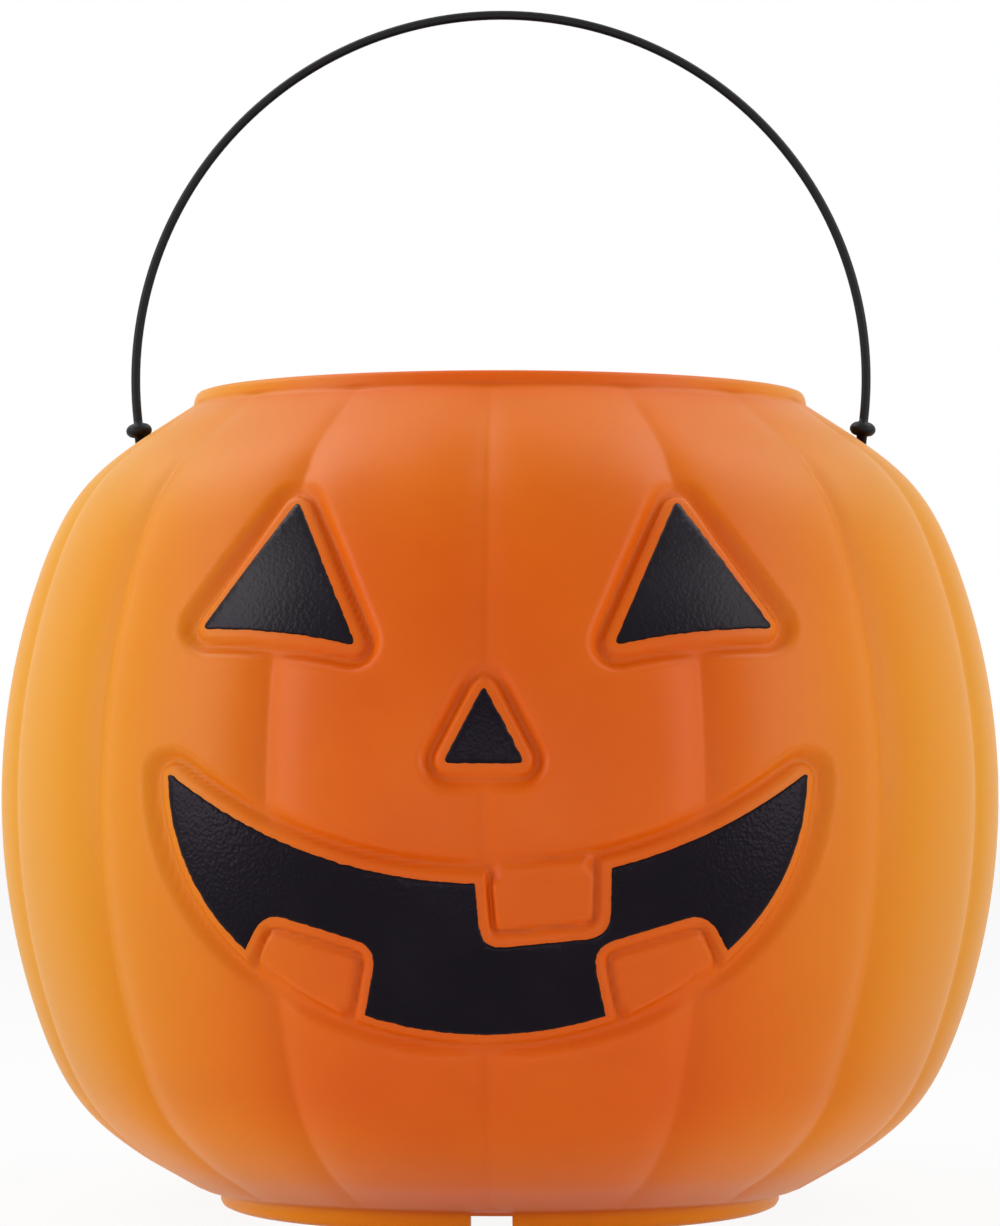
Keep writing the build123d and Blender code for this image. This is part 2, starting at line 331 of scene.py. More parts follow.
def inside_rows():
    """Rows of the inner skin: down from the rim, along the wall and across the bottom."""
    inner = RIM_RADIUS - WALL
    ring = plain_rows([
        (inner + 0.15, RIM_TOP - 0.1), (inner, RIM_TOP - 0.35), (inner, RIM_TOP - 1.0),
        (inner, NECK_HEIGHT - 0.6),
    ])
    rows = [values[::-1] for values in wall_rows(WALL, INSIDE_ROW)]
    floor = rows[1][-1]
    bottom = plain_rows([(BASE_RADIUS - 4.0, floor), (40.0, floor), (20.0, floor), (0.0, floor)])
    return [np.concatenate(parts) for parts in zip(ring, rows, bottom)]


def lobed_wall_tree():
    """Node tree that turns a column of rows round the pail's axis and draws in its grooves."""
    tree = bpy.data.node_groups.new("lobed_wall", "GeometryNodeTree")
    for name, kind in (
        ("Rows", "NodeSocketGeometry"), ("Row Count", "NodeSocketInt"), ("Columns", "NodeSocketInt"),
        ("Lobes", "NodeSocketFloat"), ("Groove Depth", "NodeSocketFloat"),
        ("Groove Sharpness", "NodeSocketFloat"), ("Groove Softness", "NodeSocketFloat"),
        ("Body Radius", "NodeSocketFloat"), ("Front Crowding", "NodeSocketFloat"),
        ("Groove Crowding", "NodeSocketFloat"), ("Material", "NodeSocketMaterial"),
    ):
        tree.interface.new_socket(name, in_out="INPUT", socket_type=kind)
    tree.interface.new_socket("Wall", in_out="OUTPUT", socket_type="NodeSocketGeometry")
    graph = Graph(tree)
    given = tree.nodes.new("NodeGroupInput")
    (
        rows, row_count, columns, lobes, groove_depth, sharpness, softness, body_radius, crowding, gathering,
        material,
    ) = (Value(graph, socket) for socket in given.outputs[:11])
    sheet = graph.add("GeometryNodeMeshGrid", None, {"Vertices X": columns, "Vertices Y": row_count})
    spread = Value(graph, sheet.socket.node.outputs["UV Map"])
    place = graph.add("ShaderNodeSeparateXYZ", None, {0: spread})
    across = place * 2.0 - 1.0
    up = Value(graph, place.socket.node.outputs[1])
    row = graph.add("FunctionNodeFloatToInt", {"rounding_mode": "ROUND"}, {0: up * (row_count - 1.0)})

    def row_value(name):
        kind = {"data_type": "FLOAT"}
        field = graph.add("GeometryNodeInputNamedAttribute", kind, {"Name": name})
        return graph.add("GeometryNodeSampleIndex", kind, {"Geometry": rows, "Value": field, "Index": row})

    radius = row_value("crest_radius")
    height = row_value("crest_height")
    groove = row_value("groove")
    even = across * across
    angle = (across * crowding + (1.0 - crowding) * even * even * across) * pi
    angle = angle - (angle * lobes).sine() * gathering / lobes
    lobe = angle * lobes / (2.0 * pi) + 0.5
    aside = (lobe.maths("FRACT", lobe) - 0.5) * 2.0
    aside = (aside * aside + softness * softness) ** 0.5 - softness
    sunk = groove_depth * groove * (1.0 - aside) ** sharpness * radius / body_radius
    reach = radius - sunk
    front = 0.0 - reach * angle.cosine()
    point = graph.add("ShaderNodeCombineXYZ", None, {0: reach * angle.sine(), 1: front, 2: height})
    shape = graph.add("GeometryNodeSetPosition", None, {"Geometry": sheet, "Position": point})
    for name, value in (
        ("crest_radius", radius), ("crest_height", height), ("lean", row_value("lean")), ("sunk", sunk),
    ):
        kind = {"data_type": "FLOAT", "domain": "POINT"}
        stored = {"Geometry": shape, "Name": name, "Value": value}
        shape = graph.add("GeometryNodeStoreNamedAttribute", kind, stored)
    closed = graph.add("GeometryNodeMergeByDistance", None, {"Geometry": shape, "Distance": SEAM * MM})
    soft = graph.add("GeometryNodeSetShadeSmooth", None, {0: closed})
    whole = graph.add("GeometryNodeRealizeInstances", None, {0: soft})
    coloured = graph.add("GeometryNodeSetMaterial", None, {"Geometry": whole, "Material": material})
    tree.links.new(coloured.socket, tree.nodes.new("NodeGroupOutput").inputs[0])
    return tree


def swap_for_result(piece):
    """Turns what the piece's modifiers make into its own plain mesh."""
    made = bpy.data.meshes.new_from_object(piece.evaluated_get(bpy.context.evaluated_depsgraph_get()))
    if made.materials[0] is None:
        made.materials.pop(index=0)
    piece.modifiers.clear()
    piece.data = made
    made.name = piece.name
    return piece


def run_tree(name, mesh, tree, values):
    """A new piece from a mesh and a node tree, with the tree's inputs set by name."""
    piece = bpy.data.objects.new(name, mesh)
    bpy.context.scene.collection.objects.link(piece)
    modifier = piece.modifiers.new("shape", "NODES")
    modifier.node_group = tree
    for item in tree.interface.items_tree:
        if item.in_out == "INPUT" and item.name in values:
            modifier[item.identifier] = values[item.name]
    return swap_for_result(piece)


def lobed_wall(name, rows, columns, crowding, material, tree):
    """One skin of the shell, made by the tree from its rows."""
    radius, height, lean, groove = rows
    mesh = bpy.data.meshes.new(name + "_rows")
    mesh.from_pydata([(r * MM, 0.0, h * MM) for r, h in zip(radius, height)], [], [])
    for label, values in (
        ("crest_radius", radius * MM), ("crest_height", height * MM), ("lean", lean), ("groove", groove),
    ):
        mesh.attributes.new(label, "FLOAT", "POINT").data.foreach_set("value", values.astype(np.float32))
    return run_tree(name, mesh, tree, {
        "Row Count": len(radius), "Columns": columns, "Lobes": float(LOBES),
        "Groove Depth": GROOVE_DEPTH * MM, "Groove Sharpness": GROOVE_SHARPNESS,
        "Groove Softness": GROOVE_SOFTNESS, "Body Radius": BODY_RADIUS * MM, "Front Crowding": crowding,
        "Groove Crowding": GROOVE_CROWDING, "Material": material,
    })


# Outlines of the face

def arc_through(start, middle, end, count):
    """Points on the arc through three points, without the last."""
    (ax, ay), (bx, by), (cx, cy) = start, middle, end
    d = 2 * (ax * (by - cy) + bx * (cy - ay) + cx * (ay - by))
    ux = ((ax**2 + ay**2) * (by - cy) + (bx**2 + by**2) * (cy - ay) + (cx**2 + cy**2) * (ay - by)) / d
    uy = ((ax**2 + ay**2) * (cx - bx) + (bx**2 + by**2) * (ax - cx) + (cx**2 + cy**2) * (bx - ax)) / d
    radius = hypot(ax - ux, ay - uy)
    first = atan2(ay - uy, ax - ux)
    half = (atan2(by - uy, bx - ux) - first + pi) % (2 * pi) - pi
    rest = (atan2(cy - uy, cx - ux) - first - half + pi) % (2 * pi) - pi
    turns = first + (half + rest) * np.arange(count) / count
    return [(ux + radius * cos(t), uy + radius * sin(t)) for t in turns]


def soften(corners, size):
    """The closed outline with its sharp corners rounded."""
    points = []
    for index, corner in enumerate(corners):
        here = Vector(corner)
        before = Vector(corners[index - 1]) - here
        after = Vector(corners[(index + 1) % len(corners)]) - here
        if before.angle(after) > BLUNT_CORNER:
            points.append(tuple(here))
            continue
        start = before.normalized() * min(size, before.length / 2)
        end = after.normalized() * min(size, after.length / 2)
        for share in np.linspace(0, 1, 6):
            points.append(tuple(here + start * (1 - share) ** 2 + end * share**2))
    return points


def eye_outline(side):
    """Triangle with a bowed lower edge."""
    outer, peak, inner = ((side * x, z) for x, z in EYE_CORNERS)
    middle = ((outer[0] + inner[0]) / 2, (outer[1] + inner[1]) / 2 + EYE_BASE_BOW)
    return soften([outer, peak] + arc_through(inner, middle, outer, 8), CORNER_ROUND)


def grin_outline():
    """The mouth without its teeth, of four arcs."""
    tip, cheek, jaw = MOUTH_TIP, MOUTH_CHEEK, MOUTH_JAW
    points = arc_through((-tip[0], tip[1]), (0, MOUTH_UPPER), tip, 40)
    points += arc_through(tip, cheek, jaw, 20)
    points += arc_through(jaw, (0, MOUTH_LOWER), (-jaw[0], jaw[1]), 30)
    points += arc_through((-jaw[0], jaw[1]), (-cheek[0], cheek[1]), (-tip[0], tip[1]), 20)
    return soften(points, CORNER_ROUND)


def tooth_outline(corners, side=1):
    """Bare patch with round corners."""
    return soften([(side * x, z) for x, z in corners], TOOTH_ROUND)


GRIN = grin_outline()
TEETH = [tooth_outline(UPPER_TOOTH), tooth_outline(LOWER_TOOTH, -1), tooth_outline(LOWER_TOOTH)]
PAINTED = {
    "left_eye_paint": (eye_outline(-1), []),
    "right_eye_paint": (eye_outline(1), []),
    "nose_paint": (soften(NOSE_CORNERS, CORNER_ROUND), []),
    "mouth_paint": (GRIN, TEETH),
}


def distance_to(outline, x, z):
    """Distance of each point from a closed outline, negative inside it."""
    return distance_to_edges(list(zip(outline, outline[1:] + outline[:1])), x, z)


def distance_to_edges(edges, x, z):
    """Distance of each point from edges that close, in any order, negative inside them."""
    nearest = np.full(x.shape, np.inf)
    inside = np.zeros(x.shape, bool)
    for (ax, az), (bx, bz) in edges:
        run, rise = bx - ax, bz - az
        share = np.clip(((x - ax) * run + (z - az) * rise) / (run * run + rise * rise + 1e-12), 0, 1)
        nearest = np.minimum(nearest, np.hypot(x - ax - share * run, z - az - share * rise))
        if rise:
            inside ^= ((az > z) != (bz > z)) & (x < ax + (z - az) / rise * run)
    return np.where(inside, -nearest, nearest)


def distance_to_paint(area, x, z):
    """Distance of each point from an outline with gaps, negative where there is paint."""
    outline, gaps = area
    distance = distance_to(outline, x, z)
    for gap in gaps:
        distance = np.maximum(distance, -distance_to(gap, x, z))
    return distance


def carve_face(piece):
    """Sinks the moats and raises the pads and teeth on the front of a lobed wall."""
    mesh = piece.data
    count = len(mesh.vertices)

    def read(name):
        values = np.empty(count, np.float32)
        mesh.attributes[name].data.foreach_get("value", values)
        return values.astype(float)

    radius, height, sunk = read("crest_radius") / MM, read("crest_height") / MM, read("sunk") / MM
    lean = read("lean")
    points = np.empty(count * 3, np.float32)
    mesh.vertices.foreach_get("co", points)
    points = points.reshape(-1, 3)
    turn = np.arctan2(points[:, 0], -points[:, 1])
    x = points[:, 0] / MM
    z = height - WAIST_HEIGHT
    near = (np.abs(turn) < CARVED_TURN) & (radius > CARVED_RADIUS)
    near &= (z > CARVED_BAND[0]) & (z < CARVED_BAND[1])
    x, z = x[near], z[near]
    depth = sunk[near].copy()
    paint = np.min([distance_to_paint(area, x, z) for area in PAINTED.values()], axis=0)
    moat = smooth((MOAT_OUTER[0] - paint) / (MOAT_OUTER[0] - MOAT_OUTER[1]))
    depth += (MOAT_DEPTH - depth) * moat
    grin = distance_to(GRIN, x, z)
    for tooth in TEETH:
        inner = -distance_to(tooth, x, z) - TOOTH_BEVEL[0]
        in_grin = smooth(-grin / TOOTH_FADE + TOOTH_SHARE)
        raised = smooth(inner / (TOOTH_BEVEL[1] - TOOTH_BEVEL[0])) * in_grin
        depth += (PAD_DEPTH - depth) * raised
    pad = smooth((PAD_BEVEL[0] - paint) / (PAD_BEVEL[0] - PAD_BEVEL[1]))
    depth += (PAD_DEPTH - depth) * pad
    reach = (radius[near] - depth * np.cos(lean[near])) * MM
    points[near, 0] = reach * np.sin(turn[near])
    points[near, 1] = -reach * np.cos(turn[near])
    points[near, 2] = (height[near] - depth * np.sin(lean[near])) * MM
    mesh.vertices.foreach_set("co", points.ravel())
    mesh.update()


def shape_underside(piece):
    """Draws up the edge of the underside and takes the foot ring out of its gaps at the front and back.

    The columns on both sides of a gap's edge move up to it, so that the gap ends squarely.
    """
    points = np.empty(len(piece.data.vertices) * 3, np.float32)
    piece.data.vertices.foreach_get("co", points)
    x, y, height = points.reshape(-1, 3).T.astype(float) / MM
    radius = np.hypot(x, y)
    edge = (radius > FOOT_RADIUS + FOOT_MARGIN) & (height < 3 * FOOT_HEIGHT)
    lift = EDGE_LIFT[0] + (EDGE_LIFT[1] - EDGE_LIFT[0]) * (y / np.maximum(radius, 1.0)) ** 2
    lift *= np.clip((3 * FOOT_HEIGHT - height) / (2 * FOOT_HEIGHT), 0.0, 1.0)
    foot = (radius < FOOT_RADIUS + FOOT_MARGIN) & (height < FOOT_HEIGHT - 0.01)
    turn = np.arctan2(np.abs(x), np.abs(y))
    for end in (-1, 1):
        ring = foot & (y * end > 0)
        columns = np.unique(turn[ring])
        columns = columns[np.append(True, np.diff(columns) > COLUMN_TURN)]
        last = max(1, np.searchsorted(columns, FOOT_GAP / 2 / FOOT_RADIUS) - 1)
        at_edge = columns[last : last + 2]
        gap = ring & (turn < at_edge.mean())
        for column, place in zip(at_edge, (FOOT_GAP / 2 - GAP_SIDE, FOOT_GAP / 2 + GAP_SIDE)):
            moved = ring & (np.abs(turn - column) < COLUMN_TURN)
            x[moved] = np.sign(x[moved]) * place
            y[moved] = end * np.sqrt(radius[moved] ** 2 - place**2)
        height[gap] = FOOT_HEIGHT
    height[edge] += lift[edge]
    points = (np.array([x, y, height]).T * MM).astype(np.float32)
    piece.data.vertices.foreach_set("co", points.ravel())
    piece.data.update()


def plug_axes(side):
    """Middle of the hole, in millimetres, and the directions along the plug, across it and to its back."""
    along = Vector((side * sin(PLUG_LEAN), 0, cos(PLUG_LEAN)))
    across = Vector((side * cos(PLUG_LEAN), 0, -sin(PLUG_LEAN)))
    return Vector((side * PIVOT_REACH, 0, PIVOT_HEIGHT)), along, across, along.cross(across)


def slot_outline(count=40):
    """Round-ended slot, long from front to back."""
    points = []
    for turn in np.linspace(0, 2 * pi, count, endpoint=False):
        straight = (HOLE_LENGTH - HOLE_WIDTH) / 2 * (1 if sin(turn) >= 0 else -1)
        points.append((HOLE_WIDTH / 2 * cos(turn), HOLE_WIDTH / 2 * sin(turn) + straight))
    return points


def cut_handle_hole(piece, side):
    """Cuts the slot for one plug into a skin, with a finer mesh round it."""
    middle, along, across, back = plug_axes(side)
    shape = bmesh.new()
    shape.from_mesh(piece.data)
    surface = BVHTree.FromBMesh(shape)

    def flat_place(point):
        offset = point / MM - middle
        return Vector((offset.dot(across), offset.dot(back)))

    def on_surface(place):
        start = middle + across * place[0] + back * place[1] + along * HOLE_START
        return surface.ray_cast(start * MM, -along)[0]

    def is_near(point):
        return (point / MM - middle).length < 2 * HOLE_PATCH

    def in_patch(face):
        centre = face.calc_center_median()
        return is_near(centre) and flat_place(centre).length < HOLE_PATCH

    patch = [face for face in shape.faces if in_patch(face)]
    facing = sum((face.normal for face in patch), Vector()).dot(along)
    bmesh.ops.delete(shape, geom=patch, context="FACES")
    loop = [edge for edge in shape.edges if edge.is_boundary and is_near(edge.verts[0].co)]
    rim = list({vertex for edge in loop for vertex in edge.verts})
    rim.sort(key=lambda vertex: vertex.index)
    order = {vertex: index for index, vertex in enumerate(rim)}
    slot = slot_outline()
    steps = np.arange(-HOLE_PATCH, HOLE_PATCH, PATCH_STEP)
    grid = np.array([(u, v) for u in steps for v in steps if hypot(u, v) < HOLE_PATCH - PATCH_MARGIN])
    grid = grid[distance_to(slot, grid[:, 0], grid[:, 1]) > SLOT_MARGIN]
    places = [flat_place(vertex.co) for vertex in rim] + [Vector(place) for place in slot + grid.tolist()]
    edges = [(order[edge.verts[0]], order[edge.verts[1]]) for edge in loop]
    edges += [(len(rim) + i, len(rim) + (i + 1) % len(slot)) for i in range(len(slot))]
    flat, _, faces, origins, _, _ = delaunay_2d_cdt(places, edges, [], 0, SNAP)
    corners = {}
    for index, origin in enumerate(origins):
        known = [i for i in origin if i < len(rim)]
        corners[index] = rim[known[0]] if known else shape.verts.new(on_surface(flat[index]))
    centres = np.array([np.mean([flat[i] for i in face], axis=0) for face in faces])
    border = [(tuple(places[a]), tuple(places[b])) for a, b in edges[:len(loop)]]
    kept = distance_to_edges(border, centres[:, 0], centres[:, 1]) < 0
    kept &= distance_to(slot, centres[:, 0], centres[:, 1]) > 0
    added = [shape.faces.new([corners[i] for i in face]) for face, keep in zip(faces, kept) if keep]
    shape.normal_update()
    bmesh.ops.reverse_faces(shape, faces=[face for face in added if face.normal.dot(along) * facing < 0])
    for face in added:
        face.smooth = True
    shape.to_mesh(piece.data)
    shape.free()
    piece.data.update()


def join_skins(outside, inside):
    """Makes one closed shell of the two skins, which meet at the rim and in the handle holes."""
    shape = bmesh.new()
    for skin in (outside, inside):
        shape.from_mesh(skin.data)
    foot = [vertex for vertex in shape.verts if vertex.co.z < 1.01 * FOOT_HEIGHT * MM]
    bmesh.ops.remove_doubles(shape, verts=foot, dist=FOOT_SEAM * MM)
    for place in ("rim", -1, 1):
        edges = []
        for edge in shape.edges:
            corner = edge.verts[0].co
            at_rim = corner.z > (RIM_TOP - RIM_REACH) * MM
            if edge.is_boundary and (at_rim if place == "rim" else not at_rim and corner.x * place > 0):
                edges.append(edge)
        bmesh.ops.bridge_loops(shape, edges=edges)
    bmesh.ops.recalc_face_normals(shape, faces=shape.faces[:])
    for face in shape.faces:
        face.smooth = True
    shape.to_mesh(outside.data)
    shape.free()
    for name in ("crest_radius", "crest_height", "lean", "sunk"):
        outside.data.attributes.remove(outside.data.attributes[name])
    bpy.data.objects.remove(inside)
    return outside


def paint_coat(name, area, material):
    """A thin coat of paint on its pad, with a soft, slightly uneven edge."""
    outline, gaps = area
    rings = [ragged(finer(loop, COAT_EDGE_STEP)) for loop in [outline] + gaps]
    rims, edges = [], []
    for ring in rings:
        edges += [(len(rims) + i, len(rims) + (i + 1) % len(ring)) for i in range(len(ring))]
        rims += ring
    border = np.array(rims)
    low, high = border.min(axis=0), border.max(axis=0)
    x, z = np.meshgrid(np.arange(low[0], high[0], COAT_STEP), np.arange(low[1], high[1], COAT_STEP))
    crown_x, crown_z = stepped_in(rims, area, COAT_EDGE)
    x, z = np.concatenate([crown_x, x.ravel()]), np.concatenate([crown_z, z.ravel()])
    clear = np.where(np.arange(x.size) < len(rims), *COAT_CLEARANCE) * COAT_EDGE
    kept = distance_to_paint(area, x, z) <= -clear
    points = [Vector(p) for p in rims] + [Vector(p) for p in zip(x[kept], z[kept])]
    flat, _, faces, origins, _, _ = delaunay_2d_cdt(points, edges, [], 0, SNAP)
    centres = np.array([np.mean([flat[i] for i in face], axis=0) for face in faces])
    painted = distance_to_paint((rings[0], rings[1:]), centres[:, 0], centres[:, 1]) < 0
    faces = [list(face) for face, inside in zip(faces, painted) if inside]
    sides = {(a, b) for face in faces for a, b in zip(face, face[1:] + face[:1])}

    shape = bmesh.new()
    tops, bottoms = {}, {}
    for index in sorted({corner for side in sides for corner in side}):
        at_edge = not origins[index] or min(origins[index]) < len(rims)
        across, height = flat[index][0], flat[index][1] + WAIST_HEIGHT
        depth = COAT_RIM if at_edge else COAT_TOP
        tops[index] = shape.verts.new(on_front(across, height, depth) * MM)
        bottoms[index] = shape.verts.new(on_front(across, height, COAT_UNDERSIDE) * MM)
    for face in faces:
        shape.faces.new([tops[i] for i in face])
        shape.faces.new([bottoms[i] for i in face[::-1]])
    for a, b in sorted(sides):
        if (b, a) not in sides:
            shape.faces.new((tops[b], tops[a], bottoms[a], bottoms[b]))
    return finish_mesh(name, shape, material)


def ragged(ring):
    """The ring with the small waver of an edge that was sprayed through a mask."""
    points = []
    for x, z in ring:
        waver = sum(noise.noise((x * close, layer, z * close)) * width for close, layer, width in WAVERS)
        points.append((x + waver, z + waver))
    return points


def stepped_in(ring, area, step):
    """Where the ring's points come to when they move inwards from the edge of a painted area."""
    x, z = np.array(ring).T
    tiny = 0.05
    slope_x = distance_to_paint(area, x + tiny, z) - distance_to_paint(area, x - tiny, z)
    slope_z = distance_to_paint(area, x, z + tiny) - distance_to_paint(area, x, z - tiny)
    steep = np.hypot(slope_x, slope_z) + 1e-9
    return x - slope_x / steep * step, z - slope_z / steep * step


def finer(loop, step):
    """The closed outline with points no further apart than the step."""
    points = []
    for a, b in zip(loop, loop[1:] + loop[:1]):
        run, rise = b[0] - a[0], b[1] - a[1]
        count = max(1, round(hypot(run, rise) / step))
        points += [(a[0] + run * k / count, a[1] + rise * k / count) for k in range(count)]
    return points


DEPTH_WALLS = {}  # the wall at each depth that was asked for


def on_front(x, height, depth):
    """Point on the front of the pail at this depth below the crests, in millimetres."""
    if depth not in DEPTH_WALLS:
        DEPTH_WALLS[depth] = wall(depth)
    radius, heights, _ = DEPTH_WALLS[depth]
    reach = np.interp(height, heights, radius)
    return Vector((x, -((reach * reach - x * x) ** 0.5), height))


def finish_mesh(name, shape, material):
    """A smooth-shaded piece from a bmesh."""
    mesh = bpy.data.meshes.new(name)
    shape.normal_update()
    shape.to_mesh(mesh)
    shape.free()
    mesh.shade_smooth()
    mesh.materials.append(material)
    piece = bpy.data.objects.new(name, mesh)
    bpy.context.scene.collection.objects.link(piece)
    return piece


# Handle

def strap_tree():
    """Node tree that lays a round strap along a line."""
    tree = bpy.data.node_groups.new("round_strap", "GeometryNodeTree")
    for name, kind in (
        ("Line", "NodeSocketGeometry"), ("Diameter", "NodeSocketFloat"), ("Sides", "NodeSocketInt"),
        ("Material", "NodeSocketMaterial"),
    ):
        tree.interface.new_socket(name, in_out="INPUT", socket_type=kind)
    tree.interface.new_socket("Strap", in_out="OUTPUT", socket_type="NodeSocketGeometry")
    graph = Graph(tree)
    line, diameter, sides, material = (
        Value(graph, socket) for socket in tree.nodes.new("NodeGroupInput").outputs[:4]
    )
    curve = graph.add("GeometryNodeMeshToCurve", None, {0: line})
    circle = {"Resolution": sides, "Radius": diameter / 2.0}
    section = graph.add("GeometryNodeCurvePrimitiveCircle", {"mode": "RADIUS"}, circle)
    sweep = {"Curve": curve, "Profile Curve": section, "Fill Caps": True}
    strap = graph.add("GeometryNodeCurveToMesh", None, sweep)
    soft = graph.add("GeometryNodeSetShadeSmooth", None, {0: strap})
    whole = graph.add("GeometryNodeRealizeInstances", None, {0: soft})
    coloured = graph.add("GeometryNodeSetMaterial", None, {"Geometry": whole, "Material": material})
    tree.links.new(coloured.socket, tree.nodes.new("NodeGroupOutput").inputs[0])
    return tree


def handle_strap(material):
    """The arch from one collar over to the other."""
    turns = np.linspace(-PLUG_LEAN, pi + PLUG_LEAN, STRAP_POINTS)
    rise = HANDLE_RADIUS - CROWN_DROP
    line = [(HANDLE_RADIUS * cos(t) * MM, 0.0, (HANDLE_CENTRE + rise * sin(t)) * MM) for t in turns]
    mesh = bpy.data.meshes.new("handle_line")
    mesh.from_pydata(line, [(i, i + 1) for i in range(len(line) - 1)], [])
    values = {"Diameter": STRAP_DIAMETER * MM, "Sides": STRAP_SIDES, "Material": material}
    return run_tree("handle_strap", mesh, strap_tree(), values)


def plug_profile():
    """Radius and distance along the plug, from the tip up to the strap."""
    stem = STEM_DIAMETER / 2
    widest = -BARB_DROP - BARB_SLOPE
    tip = widest - BARB_LENGTH
    points = [
        (0.0, tip), (BARB_NOSE * 0.7, tip), (BARB_NOSE, tip + 0.3),
        (BARB_RADIUS - 0.1, widest - 0.3), (BARB_RADIUS, widest - 0.1), (BARB_RADIUS - 0.15, widest + 0.08),
        (stem + 0.2, -BARB_DROP), (stem, -BARB_DROP + 0.2),
    ]
    for share in np.linspace(0, 1, COLLAR_POINTS):
        edge = stem + (STRAP_DIAMETER / 2 - stem) * share
        bulge = (COLLAR_RADIUS - stem) * max(0.0, 1 - (2 * share - 1) ** 2) ** 0.6
        points.append((edge + bulge, COLLAR_LIFT + COLLAR_HALF_THICKNESS * (2 * share - 1)))
    points += [(STRAP_DIAMETER / 2, PLUG_RUN), (0.0, PLUG_RUN)]
    return points


def handle_plugs(material):
    """Collar, stem and barb at both ends of the strap."""
    shape = bmesh.new()
    turns = np.linspace(0, 2 * pi, PLUG_SIDES + 1)[:-1]
    for side in (-1, 1):
        origin, along, across, deep = plug_axes(side)
        rings = []
        for radius, run in plug_profile():
            middle = origin + along * run
            ring = [middle + (across * cos(t) + deep * sin(t)) * radius for t in turns]
            rings.append([shape.verts.new(point * MM) for point in ring])
        for low, high in zip(rings, rings[1:]):
            for index in range(len(low)):
                after = (index + 1) % len(low)
                shape.faces.new((low[index], low[after], high[after], high[index]))
    bmesh.ops.remove_doubles(shape, verts=shape.verts[:], dist=PLUG_SEAM * MM)
    bmesh.ops.recalc_face_normals(shape, faces=shape.faces[:])
    return finish_mesh("handle_plugs", shape, material)


# Materials, with heights in metres

SHADED_ORANGE = ((0.74, 0.112, 0.0012, 1), (0.78, 0.129, 0.0016, 1))  # painted shade: the deep orange of the front, which the lamps light least, in clouds
# painted light: the paler, yellower orange of the sides, where the side softboxes light them
LIT_ORANGE = (0.77, 0.325, 0.007, 1)
# painted light: the bright golden orange of the low part and the foot, as if lit from below by the white
# floor
BOUNCE_ORANGE = (0.97, 0.36, 0.004, 1)
PAINT_BLACK = ((0.003, 0.002, 0.0045, 1), (0.005, 0.0035, 0.007, 1))
HANDLE_BLACK = ((0.003, 0.003, 0.0035, 1), (0.006, 0.006, 0.0065, 1))
DARKEST_SHIFT = 5.0 * MM  # how far the darkest place of the painted shade lies to the right of the middle of the front, because the left lamps are stronger
LIT_SIDES = (0.25, 1.05)  # shares of the radius between which the sides take on painted light
SHOULDER_RISE = (0.132, 0.16)
SHOULDER_END = (0.168, 0.174)
RIM_RISE = (0.171, 0.174)
LOW_END = (0.01, 0.032)
FOOT_END = (0.003, 0.0045)
OFF_MIDDLE = (0.1, 0.6)  # shares of the radius between which the rim and the low part grow paler with painted light
EYE_RISE = (0.11, 0.135)  # heights between which the paint's sheen comes on


def new_material(name):
    """A material with nodes, its graph and its shader."""
    material = bpy.data.materials.new(name)
    material.use_nodes = True
    graph = Graph(material.node_tree)
    shader = material.node_tree.nodes["Principled BSDF"]
    return material, graph, shader


def feed(graph, shader, **values):
    """Links values to the shader's sockets, whose names have underscores for spaces here."""
    for name, value in values.items():
        graph.tree.links.new(value.socket, shader.inputs[name.replace("_", " ")])


def object_place(graph):
    """Place on the piece, in metres from the origin."""
    return graph.add("ShaderNodeTexCoord", None, None, output="Object")


def speckle(graph, place, scale, detail=2.0):
    """Soft noise, from 0 to 1."""
    return graph.add("ShaderNodeTexNoise", None, {"Vector": place, "Scale": scale, "Detail": detail})


def stretched(graph, place, scale):
    """The place with another scale along each axis."""
    return graph.add("ShaderNodeMapping", None, {"Vector": place, "Scale": scale})


